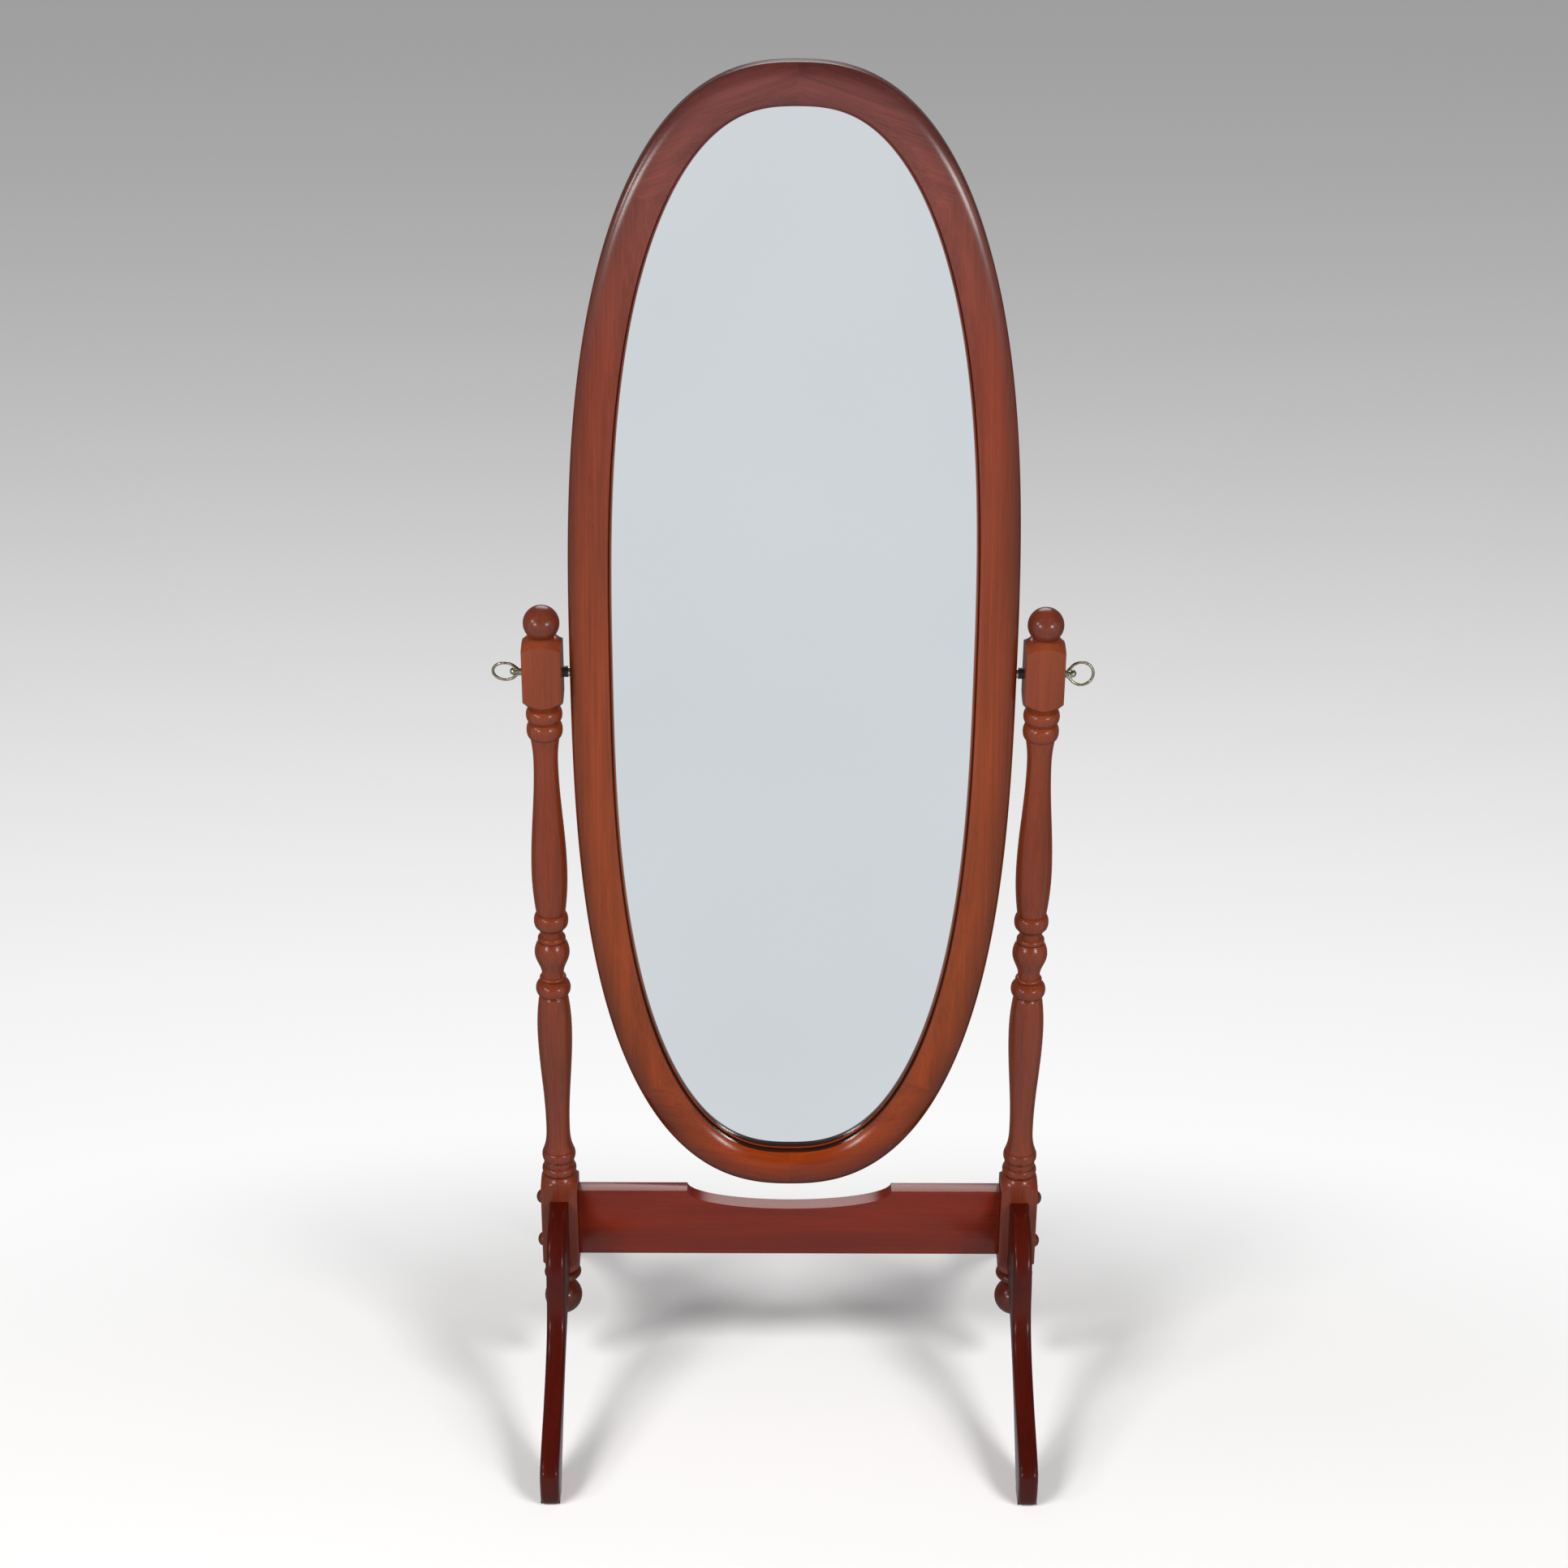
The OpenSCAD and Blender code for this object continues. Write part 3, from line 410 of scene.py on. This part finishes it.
def frame_member(node, start, end):
    """One member of the frame: its section is spun round a circle, a step for each degree, and drawn out."""
    work = bmesh.new()
    ring = [work.verts.new((1 - inset, depth - THICK / 2, 0)) for inset, depth in frame_section()]
    edges = [work.edges.new((ring[place - 1], ring[place])) for place in range(len(ring))]
    to_start = Matrix.Rotation(math.radians(-start), 3, "Y")
    bmesh.ops.rotate(work, verts=ring, cent=(0, 0, 0), matrix=to_start)
    bmesh.ops.spin(work, geom=ring + edges, cent=(0, 0, 0), axis=(0, -1, 0), dvec=(0, 0, 0),
                   angle=math.radians(end - start), steps=end - start, use_merge=False)
    work.faces.ensure_lookup_table()
    quirk_shade_faces = {index for index, face in enumerate(work.faces) if in_quirk(face)}
    draw_out_to_oval(work)
    bmesh.ops.holes_fill(work, edges=[edge for edge in work.edges if edge.is_boundary], sides=0)
    bmesh.ops.recalc_face_normals(work, faces=work.faces)
    piece = place_piece(work, node)
    # Painted shade: faces in the groove and on the wall down to the glass take the darker wood
    piece.data.materials.append(QUIRK_SHADE_WOOD)
    for face in piece.data.polygons:
        if face.center.y < GLASS_DEEP - THICK / 2 and face.index in quirk_shade_faces:
            face.material_index = 1


# The round on a piece's square edges
EASED = {"left_post": 1.2 * MM, "right_post": 1.2 * MM, "stretcher_rail": 0.8 * MM}


def dress_all_nodes():
    """Sweeps the frame's members, eases and smooths the lacquered wood, and gives the rest its material."""
    for node, (start, end) in MEMBERS.items():
        frame_member(node, start, end)
    for node in NODES:
        if node in MEMBERS:
            continue
        if SLOT_OF[node].endswith("_wood") and SLOT_OF[node] != "dowel_wood":
            finished(node, EASED.get(node, 0.0))
        else:
            NODES[node].data.materials.clear()
            NODES[node].data.materials.append(FINISHES[node])


dress_all_nodes()


# Camera

CAMERA_PLACE = Vector((-0.025, -2.6477, 1.9928))
CAMERA_DOWN, CAMERA_TURN, CAMERA_ROLL = (math.radians(angle) for angle in (25.114, 0.348, 0.371))
FOCUS_PIXELS, PHOTO_PIXELS = 3400, 1932        # focal length and width of the photograph
SENSOR = 36.0              # in mm, as is the lens


def photo_camera():
    """The photograph's viewpoint: in front of the mirror, higher than its top and looking down."""
    data = bpy.data.cameras.new("camera")
    data.sensor_width = SENSOR
    data.lens = SENSOR * FOCUS_PIXELS / PHOTO_PIXELS
    data.clip_end = 200
    camera = bpy.data.objects.new("camera", data)
    forward = Vector((math.sin(CAMERA_TURN) * math.cos(CAMERA_DOWN),
                      math.cos(CAMERA_TURN) * math.cos(CAMERA_DOWN), -math.sin(CAMERA_DOWN)))
    right = Vector((math.cos(CAMERA_TURN), -math.sin(CAMERA_TURN), 0))
    up = right.cross(forward)
    tilted_right = right * math.cos(CAMERA_ROLL) + up * math.sin(CAMERA_ROLL)
    tilted_up = up * math.cos(CAMERA_ROLL) - right * math.sin(CAMERA_ROLL)
    facing = Matrix((tilted_right, tilted_up, -forward)).transposed().to_4x4()
    camera.matrix_world = Matrix.Translation(CAMERA_PLACE) @ facing
    bpy.context.scene.collection.objects.link(camera)
    bpy.context.scene.camera = camera


photo_camera()


# Floor and room. What gloss and glass reflect is set apart from what lights the object

FLOOR_REACH = 60           # metres each way
BACKDROP = "#9D9D9D"       # what the camera sees far off
COOL_WALL = "#D6DADD"      # the floor and the walls in front, as gloss sees them
DARK_FLOOR, DARK_WALL = (0.16, 0.16, 0.163, 1.0), (0.2, 0.2, 0.203, 1.0)       # and behind, as linear levels
CEILING, PANEL = (0.1, 0.1, 0.1, 1.0), (4.6, 4.6, 4.6, 1.0)
PANEL_WAY = (0, 0.8, 0.6)  # from the object to the panel's middle
PANEL_RIM = (0.93, 0.97)   # cosines of the angle from the panel's middle to its outer and inner rim
FILL_SIDES, FILL_ENDS = (0.06, 0.06, 0.061, 1.0), (0.36, 0.36, 0.364, 1.0)
GLOW_FAR, GLOW_ADDED = 0.30, 0.69          # the floor's level far off, and what is added to it close by
GLOW_HALF = 2.5            # metres from the object where half of that is left
GLOW_NARROW = 0.4          # the glow counts sideways distance for less
SHADOW_NARROW = 0.45       # and so does the rim of the paper that takes the shadow
SHADOW_AHEAD = 0.2         # metres that this rim's middle lies in front of the object
SHADOW_RIM = (0.24, 0.75)  # metres from there where the shadow starts to fade and where it is gone


def floor_distance(tree, place, narrow):
    """The distance from the origin on the floor, with its sideways part scaled down."""
    narrowed = add(tree, "ShaderNodeVectorMath", {0: place, 1: (narrow, 1.0, 1.0)}, operation="MULTIPLY")
    return add(tree, "ShaderNodeVectorMath", {0: narrowed.outputs[0]}, operation="LENGTH").outputs["Value"]


def backdrop_glow(tree, place):
    """The lit floor: nearly white at the object, darker with distance, but not darker than the backdrop."""
    metres = floor_distance(tree, place, GLOW_NARROW)
    ratio = add(tree, "ShaderNodeMath", {0: metres, 1: GLOW_HALF}, operation="DIVIDE")
    spread = add(tree, "ShaderNodeMath", {0: ratio.outputs[0], 1: ratio.outputs[0], 2: 1.0},
                 operation="MULTIPLY_ADD")
    added = add(tree, "ShaderNodeMath", {0: GLOW_ADDED, 1: spread.outputs[0]}, operation="DIVIDE")
    level = add(tree, "ShaderNodeMath", {0: added.outputs[0], 1: GLOW_FAR}, operation="ADD")
    kept = add(tree, "ShaderNodeMath", {0: level.outputs[0], 1: linear(BACKDROP)[0]}, operation="MAXIMUM")
    return add(tree, "ShaderNodeEmission", {"Color": (1.0, 1.0, 1.0, 1.0), "Strength": kept.outputs[0]})


def paper_sweep():
    """White paper that takes the shadow and fades to grey; gloss sees it pale in front and dark behind."""
    material, tree, shader = new_material("paper_sweep")
    place = add(tree, "ShaderNodeTexCoord").outputs["Object"]
    glow = backdrop_glow(tree, place)
    set_values(shader, Base_Color=linear("#EEEEEE"), Roughness=1.0, Specular_IOR_Level=0.0)
    lift = add(tree, "ShaderNodeEmission", {"Color": (1.0, 1.0, 1.0, 1.0), "Strength": 0.05})
    paper = add(tree, "ShaderNodeAddShader", {0: shader.outputs[0], 1: lift.outputs[0]})
    ahead = add(tree, "ShaderNodeVectorMath", {0: place, 1: (0.0, SHADOW_AHEAD, 0.0)})
    reach = floor_distance(tree, ahead.outputs[0], SHADOW_NARROW)
    far = add(tree, "ShaderNodeMapRange", {"Value": reach, "From Min": SHADOW_RIM[0],
              "From Max": SHADOW_RIM[1]}, interpolation_type="SMOOTHSTEP")
    seen = add(tree, "ShaderNodeMixShader", {0: far.outputs[0], 1: paper.outputs[0], 2: glow.outputs[0]})
    depth = add(tree, "ShaderNodeSeparateXYZ", {0: place}).outputs["Y"]
    behind = add(tree, "ShaderNodeMapRange", {"Value": depth, "From Min": -0.2, "From Max": 0.15},
                 interpolation_type="SMOOTHSTEP")
    tint = add(tree, "ShaderNodeMix", {"Factor": behind.outputs[0], 6: linear(COOL_WALL), 7: DARK_FLOOR},
               data_type="RGBA")
    cool = add(tree, "ShaderNodeEmission", {"Color": tint.outputs[2]})
    dim = add(tree, "ShaderNodeBsdfDiffuse", {"Color": linear("#C8C8C8")})
    rays = add(tree, "ShaderNodeLightPath")
    shown = dim
    for ray, look in (("Is Glossy Ray", cool), ("Is Transmission Ray", cool), ("Is Camera Ray", seen)):
        shown = add(tree, "ShaderNodeMixShader", {0: rays.outputs[ray], 1: shown.outputs[0],
                    2: look.outputs[0]})
    tree.links.new(shown.outputs[0], tree.nodes["Material Output"].inputs["Surface"])
    return material


def studio_floor():
    """The floor under the object, which also is its backdrop."""
    work = bmesh.new()
    bmesh.ops.create_grid(work, x_segments=1, y_segments=1, size=FLOOR_REACH)
    mesh = bpy.data.meshes.new("floor")
    work.to_mesh(mesh)
    work.free()
    mesh.materials.append(paper_sweep())
    floor = bpy.data.objects.new("floor", mesh)
    bpy.context.scene.collection.objects.link(floor)


def studio_room():
    """The camera sees plain grey; gloss sees a pale room in front, and a dark one behind with a high panel.

    What lights the object is dimmer: a soft fill that comes mostly from the front and the back.
    """
    world = bpy.data.worlds.new("studio")
    bpy.context.scene.world = world
    world.use_nodes = True
    tree = world.node_tree
    tree.nodes.clear()
    way = add(tree, "ShaderNodeTexCoord").outputs["Generated"]
    split = add(tree, "ShaderNodeSeparateXYZ", {0: way})
    behind = add(tree, "ShaderNodeMapRange", {"Value": split.outputs["Y"], "From Min": -0.3,
                 "From Max": 0.3}, interpolation_type="SMOOTHSTEP")
    walls = add(tree, "ShaderNodeMix", {"Factor": behind.outputs[0], 6: linear(COOL_WALL), 7: DARK_WALL},
                data_type="RGBA")
    above = add(tree, "ShaderNodeMapRange", {"Value": split.outputs["Z"], "From Min": -0.02,
                "From Max": 0.3}, interpolation_type="SMOOTHSTEP")
    shell = add(tree, "ShaderNodeMix", {"Factor": above.outputs[0], 6: walls.outputs[2], 7: CEILING},
                data_type="RGBA")
    near = add(tree, "ShaderNodeVectorMath", {0: way, 1: PANEL_WAY}, operation="DOT_PRODUCT")
    on_panel = add(tree, "ShaderNodeMapRange", {"Value": near.outputs["Value"], "From Min": PANEL_RIM[0],
                   "From Max": PANEL_RIM[1]}, interpolation_type="SMOOTHSTEP")
    glossy = add(tree, "ShaderNodeMix", {"Factor": on_panel.outputs[0], 6: shell.outputs[2], 7: PANEL},
                 data_type="RGBA")
    along = add(tree, "ShaderNodeMath", {0: split.outputs["Y"]}, operation="ABSOLUTE")
    at_end = add(tree, "ShaderNodeMapRange", {"Value": along.outputs[0], "From Min": 0.55, "From Max": 0.97},
                 interpolation_type="SMOOTHSTEP")
    fill = add(tree, "ShaderNodeMix", {"Factor": at_end.outputs[0], 6: FILL_SIDES, 7: FILL_ENDS},
               data_type="RGBA")
    rays = add(tree, "ShaderNodeLightPath")
    lit = add(tree, "ShaderNodeMix", {"Factor": rays.outputs["Is Glossy Ray"], 6: fill.outputs[2],
              7: glossy.outputs[2]}, data_type="RGBA")
    seen = add(tree, "ShaderNodeMix", {"Factor": rays.outputs["Is Camera Ray"], 6: lit.outputs[2],
               7: linear(BACKDROP)}, data_type="RGBA")
    background = add(tree, "ShaderNodeBackground", {"Color": seen.outputs[2], "Strength": 1.0})
    add(tree, "ShaderNodeOutputWorld", {"Surface": background.outputs[0]})


studio_floor()
studio_room()


# Lamps, in metres and watts

LAMP_COLOUR = (1.0, 0.985, 0.975)      # a little warm
LAMP_TARGET = Vector((0, 0, 0.75))


def softbox(name, place, watts, size, mirrored=True):
    """A soft oval lamp that looks at the mirror; one that isn't mirrored leaves no gleam on gloss."""
    data = bpy.data.lights.new(name, "AREA")
    data.shape = "ELLIPSE"
    data.size, data.size_y = size
    data.energy = watts
    data.color = LAMP_COLOUR
    lamp = bpy.data.objects.new(name, data)
    lamp.visible_glossy = mirrored
    lamp.location = place
    lamp.rotation_euler = (Vector(place) - LAMP_TARGET).to_track_quat("Z", "Y").to_euler()
    bpy.context.scene.collection.objects.link(lamp)


softbox("left_side_softbox", (-1.93, -1.09, 1.73), 9, (0.38, 0.38))
softbox("right_side_softbox", (2.3, -1.3, 1.73), 2.5, (0.6, 0.6))
softbox("left_low_softbox", (-2.35, -3.0, 1.54), 34, (1.05, 0.46))
softbox("right_low_softbox", (2.35, -3.0, 1.5), 42, (1.05, 0.5))
softbox("left_high_softbox", (-2.5, -2.0, 4.0), 112, (1.45, 1.45), mirrored=False)
softbox("right_high_softbox", (2.5, -2.0, 4.0), 112, (1.45, 1.45), mirrored=False)

bpy.context.scene.view_settings.view_transform = "Standard"
